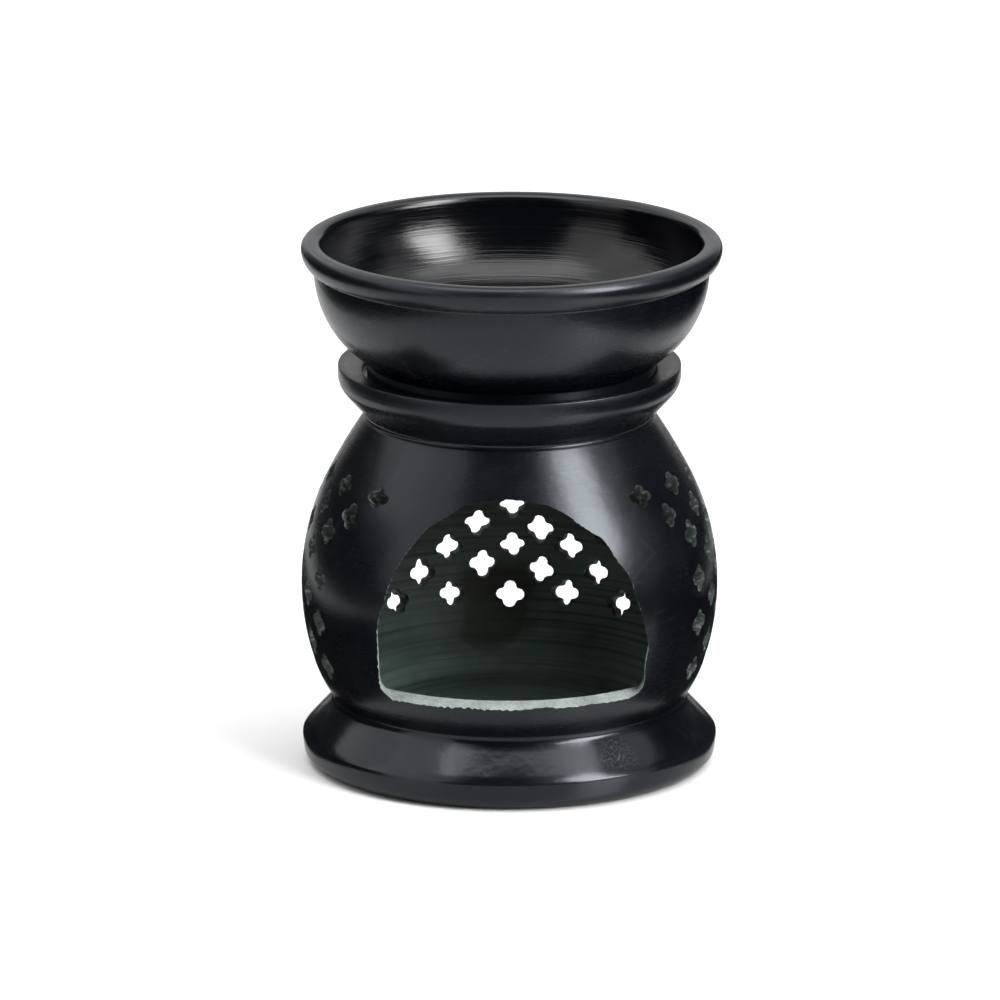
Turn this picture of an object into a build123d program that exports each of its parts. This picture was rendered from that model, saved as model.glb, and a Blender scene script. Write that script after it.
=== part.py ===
"""Essential oil burner in turned soapstone: a hollow body with an arched door and a pierced lattice,
and a loose oil bowl that stands in the mouth of its collar.

Millimetres and degrees. Origin at the centre of the base, +Z up, and the door faces -Y.
Outlines of turned pieces are drawn as (radius, height).
"""

from build123d import *
import os
from math import asin, cos, degrees, radians, sin, sqrt, tan

# Foot
foot_round = 3.8
foot_edge_low = 2.6
foot_edge_band = 2.0
foot_edge_lean = 0.25
foot_lip_inset = 0.05
foot_lip_rise = 0.85
foot_roll_inset = 1.25
foot_roll_rise = 1.5
foot_flare = 5.75
waist_height = 12.4
waist_cove_half = 1.0

# Belly, shoulder and neck
belly_radius = 39.0
belly_curve = 46.0
waist_depth = 5.9
neck_depth = 12.05
belly_root_rise = 7.2
belly_rise = 21.8
shoulder_rise = 21.1
neck_rise = 11.55
neck_cove_half = 0.55
cove_depth = 0.4

# Collar and the seat of the bowl
cone_rise = 4.1
cone_flare = 3.65
collar_round_rise = 2.4
collar_round_flare = 1.05
collar_band = 2.4
collar_dish_depth = 1.1
neck_wall = 4.95
seat_ledge = 5.5
seat_depth = 2.3

# Candle chamber
wall = 3.0
waist_wall = 5.1
floor_thickness = 8.5
floor_corner = 3.5
bore_drop = 1.7

# Arched door
door_half_width = 25.0
sill_rise = 6.9
sill_slope_angle = 17.0
jamb_height = 9.2
jamb_lean = 0.4
door_corner = 3.2
door_arch_height = 29.8

# Pierced lattice: staggered rows round the back and sides
lattice_rows = 9
lattice_long_count = 13
lattice_top_rows = 2
lattice_sill_gap = 2.5
lattice_door_angle = 26.1
lobe_radius = 1.08
lobe_offset = 1.45

# Oil bowl
bowl_height = 26.0
spigot_clearance = 0.5
spigot_height = 3.0
rim_overhang = 0.3
bead_thickness = 3.8
bead_round = 1.6
bead_tuck = 1.4
bead_drop = 4.8
side_tuck = 2.35
side_drop = 5.2
bowl_low_share = (0.44, 0.21)
bowl_mid_share = (0.77, 0.465)
dish_lip_inset = 0.6
dish_lip_drop = 1.3
dish_round = 13.5

# How far each cut runs past what it cuts
overrun = 2.0

# Heights and radii that follow from the sizes above
belly_height = waist_height + belly_rise
belly_root_height = waist_height + belly_root_rise
shoulder_height = belly_height + shoulder_rise
neck_height = shoulder_height + neck_rise
cone_low_height = neck_height + neck_cove_half
cone_high_height = cone_low_height + cone_rise
collar_low_height = cone_high_height + collar_round_rise
collar_height = collar_low_height + collar_band
seat_height = collar_height - seat_depth
top_height = seat_height + bowl_height
sill_height = waist_height + sill_rise
waist_radius = belly_radius - waist_depth
foot_radius = waist_radius + foot_flare
base_radius = foot_radius - foot_edge_lean - foot_round
neck_radius = belly_radius - neck_depth
mouth_radius = neck_radius - neck_wall
seat_radius = mouth_radius + seat_ledge
cone_radius = neck_radius + cove_depth + cone_flare
collar_radius = cone_radius + collar_round_flare
rim_radius = belly_radius + rim_overhang


def belly_point(height, depth=0.0):
    """A point on the belly's arc at a height, or straight in from there by a depth."""
    angle = asin((height - belly_height) / belly_curve)
    reach = belly_curve - depth
    return (belly_radius - belly_curve + reach * cos(angle), belly_height + reach * sin(angle))


def belly_slope(height):
    """The direction of the belly's arc at a height, pointing up."""
    lean = (height - belly_height) / belly_curve
    return (-lean, sqrt(1 - lean**2))


def reverse(direction):
    """The opposite direction."""
    return (-direction[0], -direction[1])


def cove(radius, height, half):
    """The shallow round groove turned at the waist or the neck, from its lower end to its upper."""
    low = (radius + cove_depth, height - half)
    high = (radius + cove_depth, height + half)
    return ThreePointArc(low, (radius, height), high)


def turned(edges):
    """The solid that a closed half outline sweeps about the axis."""
    return revolve(Plane.XZ * make_face(edges), Axis.Z)


def closed_polyline(points):
    """Straight edges through the points and back to the first."""
    return Polyline(*points, close=True)


def outer_outline():
    """Half outline of the body as if it were solid, from the base to the bowl's seat."""
    foot_band_low = (foot_radius - foot_edge_lean, foot_edge_low)
    foot_band_high = (foot_radius, foot_edge_low + foot_edge_band)
    lip_height = foot_band_high[1] + foot_lip_rise
    foot_lip = (foot_radius - foot_lip_inset, lip_height)
    foot_roll = (foot_radius - foot_roll_inset, lip_height + foot_roll_rise)
    band_slope = (foot_edge_lean, foot_edge_band)
    waist = cove(waist_radius, waist_height, waist_cove_half)
    cone = Line(waist @ 0, foot_roll)
    root = belly_point(belly_root_height)
    shoulder = belly_point(shoulder_height)
    neck = cove(neck_radius, neck_height, neck_cove_half)
    cone_high = (cone_radius, cone_high_height)
    cone_slope = (cone_flare, cone_rise)
    collar_low = (collar_radius, collar_low_height)
    collar_lip = (collar_radius, collar_height)
    seat_rim = (seat_radius, collar_height - collar_dish_depth)
    seat_corner = (seat_radius, seat_height)
    edges = Curve()
    edges += Line((0, 0), (base_radius, 0))
    edges += Spline((base_radius, 0), foot_band_low, tangents=((1, 0), band_slope))
    edges += Line(foot_band_low, foot_band_high)
    edges += TangentArc(foot_band_high, foot_lip, tangent=(0, 1))
    edges += TangentArc(foot_roll, foot_lip, tangent=cone % 1)
    edges += cone
    edges += waist
    edges += TangentArc(root, waist @ 1, tangent=reverse(belly_slope(belly_root_height)))
    edges += ThreePointArc(root, (belly_radius, belly_height), shoulder)
    edges += TangentArc(shoulder, neck @ 0, tangent=belly_slope(shoulder_height))
    edges += neck
    edges += Line(neck @ 1, cone_high)
    edges += TangentArc(cone_high, collar_low, tangent=cone_slope)
    edges += Line(collar_low, collar_lip)
    edges += Line(collar_lip, seat_rim)
    edges += Line(seat_rim, seat_corner)
    edges += Line(seat_corner, (0, seat_height))
    edges += Line((0, seat_height), (0, 0))
    return edges


def chamber_outline():
    """Half outline of the hollow: the candle chamber and the bore up through the neck."""
    corner_radius = waist_radius - waist_wall
    floor_edge = (corner_radius - floor_corner, floor_thickness)
    corner = (corner_radius, waist_height)
    root = belly_point(belly_root_height, wall)
    shoulder = belly_point(shoulder_height, wall)
    bore_low = (mouth_radius, neck_height - bore_drop)
    bore_high = (mouth_radius, seat_height + overrun)
    edges = Curve()
    edges += Line((0, floor_thickness), floor_edge)
    edges += Spline(floor_edge, corner, tangents=((1, 0), (0, 1)))
    edges += TangentArc(root, corner, tangent=reverse(belly_slope(belly_root_height)))
    edges += ThreePointArc(root, (belly_radius - wall, belly_height), shoulder)
    edges += TangentArc(shoulder, bore_low, tangent=belly_slope(shoulder_height))
    edges += Line(bore_low, bore_high)
    edges += Line(bore_high, (0, seat_height + overrun))
    edges += Line((0, seat_height + overrun), (0, floor_thickness))
    return edges


def door_cutter():
    """The doorway: a half-elliptical arch on leaning jambs, cut straight back along Y."""
    spring_height = sill_height + jamb_height
    foot_x = door_half_width - jamb_lean
    foot_height = sill_height + door_corner
    sill_x = foot_x - door_corner
    edges = Curve()
    edges += EllipticalCenterArc(
        (0, spring_height), door_half_width, door_arch_height, arc_size=180
    )
    edges += Line((-sill_x, sill_height), (sill_x, sill_height))
    for side in (1, -1):
        jamb_foot = (side * foot_x, foot_height)
        edges += Line((side * door_half_width, spring_height), jamb_foot)
        edges += TangentArc(jamb_foot, (side * sill_x, sill_height), tangent=(0, -1))
    arch = extrude(Plane.XZ * make_face(edges), belly_radius + overrun)
    return arch - sill_cone()


def sill_cone():
    """The stone that stays under the doorway, whose top rises inwards, square to the belly."""
    edge = belly_point(sill_height)[0]
    top = sill_height + edge * tan(radians(sill_slope_angle))
    low = sill_height - overrun
    points = [(0, top), (edge, sill_height), (edge, low), (0, low)]
    return turned(closed_polyline(points))


def quatrefoil():
    """Four round lobes about a centre, as one outline of four arcs."""
    corner = (lobe_offset + sqrt(2 * lobe_radius**2 - lobe_offset**2)) / 2
    tip = lobe_offset + lobe_radius
    edges = Curve()
    edges += ThreePointArc((corner, -corner), (tip, 0), (corner, corner))
    edges += ThreePointArc((corner, corner), (0, tip), (-corner, corner))
    edges += ThreePointArc((-corner, corner), (-tip, 0), (-corner, -corner))
    edges += ThreePointArc((-corner, -corner), (0, -tip), (corner, -corner))
    return make_face(edges)


def lattice_places():
    """Height and angle from the back of each pierced hole, row by row from the bottom.

    Long and short rows alternate, and the top rows reach one hole further at each end.
    """
    low = sill_height + lattice_sill_gap
    pitch = (shoulder_height - low) / (lattice_rows - 1)
    half_span = 180 - degrees(asin(door_half_width / belly_radius)) - lattice_door_angle
    step = 2 * half_span / (lattice_long_count - 1)
    places = []
    for row in range(lattice_rows):
        count = lattice_long_count - row % 2
        if row >= lattice_rows - lattice_top_rows:
            count += 2
        for hole in range(count):
            places.append((low + row * pitch, (hole - (count - 1) / 2) * step))
    return places


def lattice_cutters():
    """A quatrefoil punch for each hole, square to the belly, from inside the wall to outside it."""
    cutters = []
    for height, angle in lattice_places():
        turn = radians(angle)
        middle = belly_point(height, wall / 2)[0]
        lean = asin((height - belly_height) / belly_curve)
        bearing = Plane(
            origin=(middle * sin(turn), middle * cos(turn), height),
            x_dir=(cos(turn), -sin(turn), 0),
            z_dir=(sin(turn) * cos(lean), cos(turn) * cos(lean), sin(lean)),
        )
        reach = wall / 2 + overrun
        cutters.append(extrude(bearing * quatrefoil(), reach, both=True))
    return cutters


def make_body():
    """The lower stone: foot, belly with its door and lattice, neck and collar."""
    body = turned(outer_outline()) - turned(chamber_outline())
    body -= door_cutter()
    return body - lattice_cutters()


def bead_outline():
    """The round bead on the rim, from the dish's side over the crest and down to its lower line."""
    middle = top_height - bead_round
    inner_side = (rim_radius - bead_thickness, middle)
    inner_crest = (rim_radius - bead_thickness + bead_round, top_height)
    outer_crest = (rim_radius - bead_round, top_height)
    outer_side = (rim_radius, middle)
    low = (rim_radius - bead_tuck, top_height - bead_drop)
    edges = Curve()
    edges += TangentArc(inner_crest, inner_side, tangent=(-1, 0))
    edges += Line(inner_crest, outer_crest)
    edges += TangentArc(outer_crest, outer_side, tangent=(1, 0))
    edges += TangentArc(outer_side, low, tangent=(0, -1))
    return edges


def make_bowl():
    """The upper stone: a dish with a beaded rim, on a spigot that stands on the collar's seat."""
    spigot_radius = seat_radius - spigot_clearance
    spigot_top = seat_height + spigot_height
    side_radius = rim_radius - side_tuck
    side_height = top_height - side_drop
    swell = side_radius - spigot_radius
    climb = side_height - spigot_top
    low = (spigot_radius + swell * bowl_low_share[0], spigot_top + climb * bowl_low_share[1])
    middle = (spigot_radius + swell * bowl_mid_share[0], spigot_top + climb * bowl_mid_share[1])
    dish_side = rim_radius - bead_thickness
    dish_top = top_height - bead_round
    dish_lip = (dish_side - dish_lip_inset, dish_top - dish_lip_drop)
    dish_flat = (dish_lip[0] - dish_round, dish_lip[1] - dish_round)
    edges = bead_outline()
    edges += Line((0, seat_height), (spigot_radius, seat_height))
    edges += Line((spigot_radius, seat_height), (spigot_radius, spigot_top))
    edges += Line((spigot_radius, spigot_top), low)
    edges += ThreePointArc(low, middle, (side_radius, side_height))
    edges += Line(
        (side_radius, side_height), (rim_radius - bead_tuck, top_height - bead_drop)
    )
    edges += Line((dish_side, dish_top), dish_lip)
    edges += TangentArc(dish_lip, dish_flat, tangent=(0, -1))
    edges += Line(dish_flat, (0, dish_flat[1]))
    edges += Line((0, dish_flat[1]), (0, seat_height))
    return turned(edges)


os.makedirs("parts", exist_ok=True)
export_step(make_body(), "parts/burner_body.step")
export_step(make_bowl(), "parts/oil_bowl.step")
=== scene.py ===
"""Looks of a turned soapstone oil burner: a pierced body with an arched door, and a loose oil bowl.

Lengths are in metres, +Z runs up the turning axis and the door faces -Y. Outlines of turned pieces
are rows of (radius, height), from one pole of the closed surface to the other.
"""

from math import ceil, cos, pi, radians, sin, tan

import bpy
import numpy as np
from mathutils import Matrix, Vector


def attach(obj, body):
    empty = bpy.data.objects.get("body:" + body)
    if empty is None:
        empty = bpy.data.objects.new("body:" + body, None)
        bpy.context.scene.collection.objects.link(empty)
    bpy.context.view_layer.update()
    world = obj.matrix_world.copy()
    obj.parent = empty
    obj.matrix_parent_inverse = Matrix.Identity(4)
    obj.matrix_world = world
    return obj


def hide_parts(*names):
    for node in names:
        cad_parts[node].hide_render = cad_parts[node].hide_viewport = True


bl_info = {
    "name": "Turned stone oil burner",
    "version": (1, 0, 0),
    "blender": (4, 5, 0),
    "location": "View3D > Sidebar > Oil Burner",
    "description": "Turns, pierces and finishes a stone oil burner and sets it in a studio",
    "category": "Object",
}

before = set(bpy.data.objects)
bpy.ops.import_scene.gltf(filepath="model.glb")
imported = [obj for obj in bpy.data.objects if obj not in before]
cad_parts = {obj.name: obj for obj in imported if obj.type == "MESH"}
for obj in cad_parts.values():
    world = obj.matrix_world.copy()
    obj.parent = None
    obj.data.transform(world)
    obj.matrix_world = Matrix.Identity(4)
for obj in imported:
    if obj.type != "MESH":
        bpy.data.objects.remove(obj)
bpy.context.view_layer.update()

MM = 0.001

# Distance between neighbouring points of a softened outline
STEP = 0.05 * MM

# Height of the flat in the collar's mouth that the bowl stands on
SEAT_HEIGHT = 74 * MM

# Material slots from this one on belong to cuts through the turned surface
CUT_SLOT = 2

# Refraction of the wax on the stone, and the colour of the finest specks in the polish
WAX_IOR = 1.45
PALE_SPECK = (0.3, 0.32, 0.33)

# Middles of the scuffed patch on the foot and of the stain on the chamber's back wall
SCUFF_CENTRE = (20.3 * MM, -29.1 * MM, 8.5 * MM)
STAIN_CENTRE = (-2.4 * MM, 34 * MM, 20.5 * MM)


def number_property(name, description, default, **options):
    """A number that a user can change."""
    return bpy.props.FloatProperty(name=name, description=description, default=default, **options)


def length_property(name, description, default, **options):
    """A length that a user can change."""
    return number_property(name, description, default, unit="LENGTH", **options)


def colour_property(name, description, default):
    """A colour that a user can change."""
    return bpy.props.FloatVectorProperty(
        name=name, description=description, default=default, subtype="COLOR", size=3, min=0, max=1
    )


class BurnerBodySizes(bpy.types.PropertyGroup):
    """Sizes of the lower stone."""

    foot_radius: length_property("Foot radius", "Half the width of the foot flange", 0.03885)
    waist_radius: length_property("Waist radius", "Radius of the groove between foot and belly", 0.0331)
    belly_radius: length_property("Belly radius", "Widest radius of the belly", 0.039)
    neck_radius: length_property("Neck radius", "Radius of the groove under the collar", 0.02695)
    collar_radius: length_property("Collar radius", "Radius of the flared collar under the bowl", 0.03205)
    wall: length_property("Wall", "Thickness of the pierced wall", 0.003)
    edge_softness: length_property(
        "Edge softness", "How far polishing has rounded the turned edges", 0.00016
    )
    around: bpy.props.IntProperty(
        name="Faces around", description="Faces in each ring of the turned stone",
        default=256, min=32, max=512,
    )


class BurnerDoorSizes(bpy.types.PropertyGroup):
    """Sizes of the arched door."""

    half_width: length_property("Half width", "Half the width of the doorway at its widest", 0.025)
    sill_height: length_property("Sill height", "Height of the sill's outer edge", 0.0193)
    spring_height: length_property(
        "Spring height", "Height at which the jambs turn into the arch", 0.0285
    )
    arch_height: length_property("Arch height", "Rise of the arch above its spring", 0.0298)
    sill_slope: number_property(
        "Sill slope", "How steeply the sill rises inwards", radians(17), subtype="ANGLE"
    )
    wander: length_property("Wander", "How far the hand-cut edge strays from its line", 0.00014)
    chipping: length_property("Chipping", "How far the polish has broken away along the cut", 0.00024)
    offset: length_property("Offset", "How far the door's jambs stand off the middle", 0.0005)
    lean: length_property(
        "Lean", "How far the arch leans back over the middle, at 22 mm above its spring", 0.0006
    )


class BurnerLatticeSizes(bpy.types.PropertyGroup):
    """Sizes of the pierced quatrefoil lattice."""

    rows: bpy.props.IntProperty(
        name="Rows", description="Rows of holes one above another", default=9, min=1,
    )
    long_count: bpy.props.IntProperty(
        name="Holes in a long row", description="Holes in every second row", default=13, min=2,
    )
    low_height: length_property("Lowest row", "Height of the lowest row of holes", 0.0218)
    high_height: length_property("Highest row", "Height of the highest row of holes", 0.0553)
    step: number_property("Step", "Angle between the holes of a row", radians(19), subtype="ANGLE")
    lobe_radius: length_property("Lobe radius", "Radius of each of a hole's four drilled lobes", 0.00104)
    lobe_offset: length_property(
        "Lobe offset", "How far each lobe is drilled from the hole's centre", 0.00145
    )
    unevenness: number_property(
        "Unevenness", "How much the hand-drilled holes differ", 1.0, min=0.0, max=2.0
    )


class BurnerBowlSizes(bpy.types.PropertyGroup):
    """Sizes of the oil bowl."""

    rim_radius: length_property("Rim radius", "Outer radius of the bead on the rim", 0.0393)
    height: length_property("Height", "Height of the bowl from its seat to the rim", 0.026)
    bead: length_property("Bead", "Thickness of the bead on the rim", 0.0038)
    dish_round: length_property(
        "Dish round", "Radius of the curve from the dish's side to its floor", 0.0139
    )
    ring_depth: length_property(
        "Ring depth", "Depth of the tool marks inside the dish", 0.000010, precision=6
    )
    offset: length_property("Offset", "How far the loose bowl has slid to one side in its seat", 0.0004)


class BurnerFinishes(bpy.types.PropertyGroup):
    """Colours and gloss of the stone."""

    polish: colour_property("Polish", "Colour of the dyed and waxed outside", (0.0012, 0.0016, 0.0029))
    bloom: colour_property(
        "Bloom", "Colour of the cloudy patches in the polish", (0.0022, 0.0029, 0.0047)
    )
    honed: colour_property("Honed stone", "Colour of the chamber's turned inside", (0.095, 0.135, 0.120))
    soot: colour_property("Soot", "Colour of the stain on the chamber's back wall", (0.030, 0.026, 0.017))
    raw: colour_property("Raw stone", "Colour of the freshly cut stone", (0.27, 0.32, 0.30))
    gloss: number_property(
        "Polish roughness", "Roughness of the polished outside", 0.24, subtype="FACTOR", min=0, max=1
    )


class BurnerStage(bpy.types.PropertyGroup):
    """Camera and studio."""

    camera_distance: length_property("Camera distance", "From the camera to the burner's middle", 2.35)
    camera_elevation: number_property(
        "Camera elevation", "How far the camera looks down", radians(14.9), subtype="ANGLE"
    )
    focal_length: number_property("Focal length", "Lens on a sensor 36 mm wide, in millimetres", 451.98)
    key_radiance: number_property("Key radiance", "Brightness of the tall softbox in the gloss", 17.0)
    wash_radiance: number_property(
        "Wash radiance", "Brightness of the tall softbox on matt surfaces", 11.0
    )
    side_radiance: number_property("Side radiance", "Brightness of the screens round the stage", 1.45)
    top_radiance: number_property("Top radiance", "Brightness of the screen overhead", 3.5)
    back_radiance: number_property("Back radiance", "Brightness of the screen over the floor behind", 1.6)
    world_strength: number_property("World strength", "Brightness of the room round the stage", 0.04)
    floor_shade: number_property("Floor shade", "Grey of the floor", 0.84, min=0, max=1)


def run(start, end, count=120):
    """A straight run of an outline: start + s * (end - start) for s from 0 to 1."""
    share = np.linspace(0, 1, count)[:, None]
    return np.array(start) + share * (np.array(end) - np.array(start))


def tangent_arc(start, heading, end, count=400):
    """The circular arc that leaves start along a heading and reaches end.

    With t the heading, n its left normal and c the chord, the radius is R = c.c / (2 c.n) and the
    whole turn is f = 2 atan2(c.n, c.t); the point at share s is
    start + R (t sin(f s) + n (1 - cos(f s))).
    """
    start, end = np.array(start), np.array(end)
    t = np.array(heading) / np.hypot(*heading)
    n = np.array((-t[1], t[0]))
    chord = end - start
    radius = chord @ chord / (2 * chord @ n)
    turn = 2 * np.arctan2(chord @ n, chord @ t) * np.linspace(0, 1, count)[:, None]
    return start + radius * (t * np.sin(turn) + n * (1 - np.cos(turn)))


def arc_through(first, middle, last, count=300):
    """The circular arc from first to last through a middle point.

    Its heading at the start is the chord to the middle, turned back by the angle between the two
    chords that meet at the last point.
    """
    first, middle, last = np.array(first), np.array(middle), np.array(last)
    near, far = middle - first, last - middle
    whole = last - first
    turn = np.arctan2(whole[0] * far[1] - whole[1] * far[0], whole @ far)
    heading = (
        near[0] * cos(turn) + near[1] * sin(turn),
        near[1] * cos(turn) - near[0] * sin(turn),
    )
    return tangent_arc(first, heading, last, count)


def ellipse(centre, radii, first, last, count=200):
    """Part of an ellipse: centre + (a cos w, b sin w) for w from first to last, in degrees."""
    w = np.radians(np.linspace(first, last, count))[:, None]
    return np.array(centre) + np.hstack((radii[0] * np.cos(w), radii[1] * np.sin(w)))


def outline_length(outline):
    """Distance of each point along an outline from its start."""
    return np.concatenate(([0], np.cumsum(np.hypot(*np.diff(outline, axis=0).T))))


def bell(reach, pad):
    """Weights of a running Gaussian mean, pad steps to each side, that add up to one."""
    weights = np.exp(-0.5 * (np.arange(-pad, pad + 1) * STEP / reach) ** 2)
    return weights / weights.sum()


def softened(pieces, reach):
    """Joins runs into evenly spaced points, with the corners rounded by a running Gaussian mean.

    Both ends lie on the axis, so past them the outline goes on as its own mirror image.
    """
    points = np.vstack(pieces)
    length = outline_length(points)
    places = np.linspace(0, length[-1], int(length[-1] / STEP) + 1)
    even = np.column_stack([np.interp(places, length, side) for side in points.T])
    pad = ceil(4 * reach / STEP)
    mirror = np.array((-1, 1))
    longer = np.vstack((even[pad:0:-1] * mirror, even, even[-2 : -pad - 2 : -1] * mirror))
    weights = bell(reach, pad)
    return np.column_stack([np.convolve(side, weights, "valid") for side in longer.T])


def outline_normals(outline):
    """Unit normals of an outline, to the right of its direction, which is out of the stone."""
    along = np.gradient(outline, axis=0)
    normals = np.column_stack((along[:, 1], -along[:, 0]))
    return normals / np.hypot(*normals.T)[:, None]


def outline_wear(outline, reach=0.6 * MM, fully_worn=900):
    """How convex an outline is at each point, from 0 to 1: where handling rubs the polish.

    A mean bend of fully_worn radians per metre counts as 1.
    """
    heading = np.unwrap(np.arctan2(*np.gradient(outline, axis=0).T[::-1]))
    bend = np.clip(np.gradient(heading) / STEP, 0, None)
    weights = bell(reach, ceil(3 * reach / STEP))
    return np.clip(np.convolve(bend, weights, "same") / fully_worn, 0, 1)


def picked_rows(outline, widest, slack):
    """Rows of an outline, closer where it bends, so that no chord strays further than the slack.

    Where the bend has radius R the rows lie sqrt(8 R slack) apart, or the widest spacing if less.
    """
    step = np.diff(outline, axis=0)
    length = np.hypot(*step.T)
    heading = np.unwrap(np.arctan2(step[:, 1], step[:, 0]))
    bend = np.convolve(np.gradient(heading) / length, np.ones(7) / 7, "same")
    weight = length * np.maximum(1 / widest, np.sqrt(np.abs(bend) / (8 * slack)))
    total = np.concatenate(([0], np.cumsum(weight)))
    places = np.linspace(0, total[-1], ceil(total[-1]) + 1)
    return np.column_stack([np.interp(places, total, side) for side in outline.T])


def tool_marks(outline, spacing, depth, low, high, seed):
    """Shallow rings left by the turning tool between two places along an outline.

    The outline moves along its normal by depth times a sum of three sines of unlike wavelength,
    whose strength wanders, and which fade out at both ends of the stretch.
    """
    chance = np.random.default_rng(seed)
    along = outline_length(outline)
    phase = chance.uniform(0, 2 * pi, 4)
    wave = sum(
        size * np.sin(2 * pi * along / (spacing * stretch) + start)
        for size, stretch, start in zip((0.5, 0.3, 0.2), (1, 0.618, 1.73), phase)
    )
    wave *= 0.7 + 0.3 * np.sin(2 * pi * along / (6.3 * spacing) + phase[3])
    fade = np.clip((along - low) / (3 * spacing), 0, 1) * np.clip((high - along) / (3 * spacing), 0, 1)
    return outline + (depth * wave * fade)[:, None] * outline_normals(outline)


def new_mesh(name, points, faces):
    """A mesh object from points and faces, at the origin, with smooth faces."""
    mesh = bpy.data.meshes.new(name)
    mesh.from_pydata(points.tolist(), [], faces)
    mesh.validate()
    mesh.shade_smooth()
    piece = bpy.data.objects.new(name, mesh)
    bpy.context.scene.collection.objects.link(piece)
    return piece


def tube_faces(rings, around):
    """Quads between neighbouring rings of a tube whose points run ring by ring."""
    ring = np.arange(rings - 1)[:, None] * around
    place = np.arange(around)[None]
    after = (place + 1) % around
    corners = (ring + place, ring + after, ring + around + after, ring + around + place)
    return np.stack(corners, axis=2).reshape(-1, 4)


def turned_piece(name, rows, around):
    """A closed surface of rows turned about the Z axis.

    Point (i, a) is (r_i cos a, r_i sin a, z_i). The first and last rows are single poles.
    """
    angles = np.arange(around) * 2 * pi / around
    middle = rows[1:-1]
    x = middle[:, :1] * np.cos(angles)
    y = middle[:, :1] * np.sin(angles)
    z = np.broadcast_to(middle[:, 1:], x.shape)
    grid = np.stack((x, y, z), axis=2).reshape(-1, 3)
    points = np.vstack(((0, 0, rows[0, 1]), grid, (0, 0, rows[-1, 1])))
    sides = tube_faces(len(middle), around) + 1
    place = np.arange(around)
    after = (place + 1) % around
    first = np.column_stack((np.zeros(around, int), after + 1, place + 1))
    base = len(points) - 1 - around
    last = np.column_stack((np.full(around, len(points) - 1), base + place, base + after))
    return new_mesh(name, points, sides.tolist() + first.tolist() + last.tolist())


def body_outlines(sizes):
    """Outlines of the lower stone: the outside up to the mouth, and the hollow from mouth to floor."""
    foot, belly, collar = sizes.foot_radius, sizes.belly_radius, sizes.collar_radius
    arc_radius, middle = 46 * MM, 34.2 * MM
    band_low, band_high = 2.6 * MM, 4.6 * MM
    waist_height, neck_height = 12.4 * MM, 66.85 * MM
    root, shoulder = 19.6 * MM, 55.3 * MM
    collar_low, collar_high, collar_dip = 73.9 * MM, 76.3 * MM, 75.2 * MM
    floor_height, floor_corner = 8.5 * MM, 3.5 * MM
    band = (foot - 0.25 * MM, band_low)
    foot_round = 3.8 * MM
    base = band[0] - foot_round
    mouth = sizes.neck_radius - 4.95 * MM
    seat = mouth + 5.5 * MM

    def on_belly(height, depth=0.0):
        lean = np.arcsin((height - middle) / arc_radius)
        reach = arc_radius - depth
        return (belly - arc_radius + reach * np.cos(lean), middle + reach * np.sin(lean))

    def belly_heading(height):
        lean = (height - middle) / arc_radius
        return (-lean, np.sqrt(1 - lean**2))

    def cove(radius, height, half):
        side = radius + 0.4 * MM
        return arc_through((side, height - half), (radius, height), (side, height + half))

    waist = cove(sizes.waist_radius, waist_height, 1 * MM)
    neck = cove(sizes.neck_radius, neck_height, 0.55 * MM)
    root_heading, shoulder_heading = belly_heading(root), belly_heading(shoulder)
    down = (-root_heading[0], -root_heading[1])
    lip = (foot - 0.05 * MM, 5.45 * MM)
    cone_low = (foot - 1.25 * MM, 6.95 * MM)
    cone = (collar - 1.05 * MM, 71.5 * MM)
    outside = [
        run((0, 0), (base, 0)),
        ellipse((base, band_low), (foot_round, band_low), -90, 0),
        run(band, (foot, band_high)),
        tangent_arc((foot, band_high), (0.06, 1), lip),
        tangent_arc(cone_low, cone_low - waist[0], lip)[::-1],
        run(cone_low, waist[0]),
        waist,
        tangent_arc(on_belly(root), down, waist[-1])[::-1],
        tangent_arc(on_belly(root), root_heading, on_belly(shoulder)),
        tangent_arc(on_belly(shoulder), shoulder_heading, neck[0]),
        neck,
        run(neck[-1], cone),
        tangent_arc(cone, cone - neck[-1], (collar, collar_low)),
        run((collar, collar_low), (collar, collar_high)),
        run((collar, collar_high), (seat, collar_dip)),
        run((seat, collar_dip), (seat, SEAT_HEIGHT)),
        run((seat, SEAT_HEIGHT), (mouth, SEAT_HEIGHT)),
    ]
    corner = sizes.waist_radius - 5.1 * MM
    floor_radius = corner - floor_corner
    bore = (mouth, 65.15 * MM)
    hollow = [
        run((mouth, SEAT_HEIGHT), bore),
        tangent_arc(on_belly(shoulder, sizes.wall), shoulder_heading, bore)[::-1],
        tangent_arc(
            on_belly(root, sizes.wall), root_heading, on_belly(shoulder, sizes.wall)
        )[::-1],
        tangent_arc(on_belly(root, sizes.wall), down, (corner, waist_height)),
        ellipse((floor_radius, waist_height), (floor_corner, waist_height - floor_height), 0, -90),
        run((floor_radius, floor_height), (0, floor_height)),
    ]
    return outside, hollow


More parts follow.
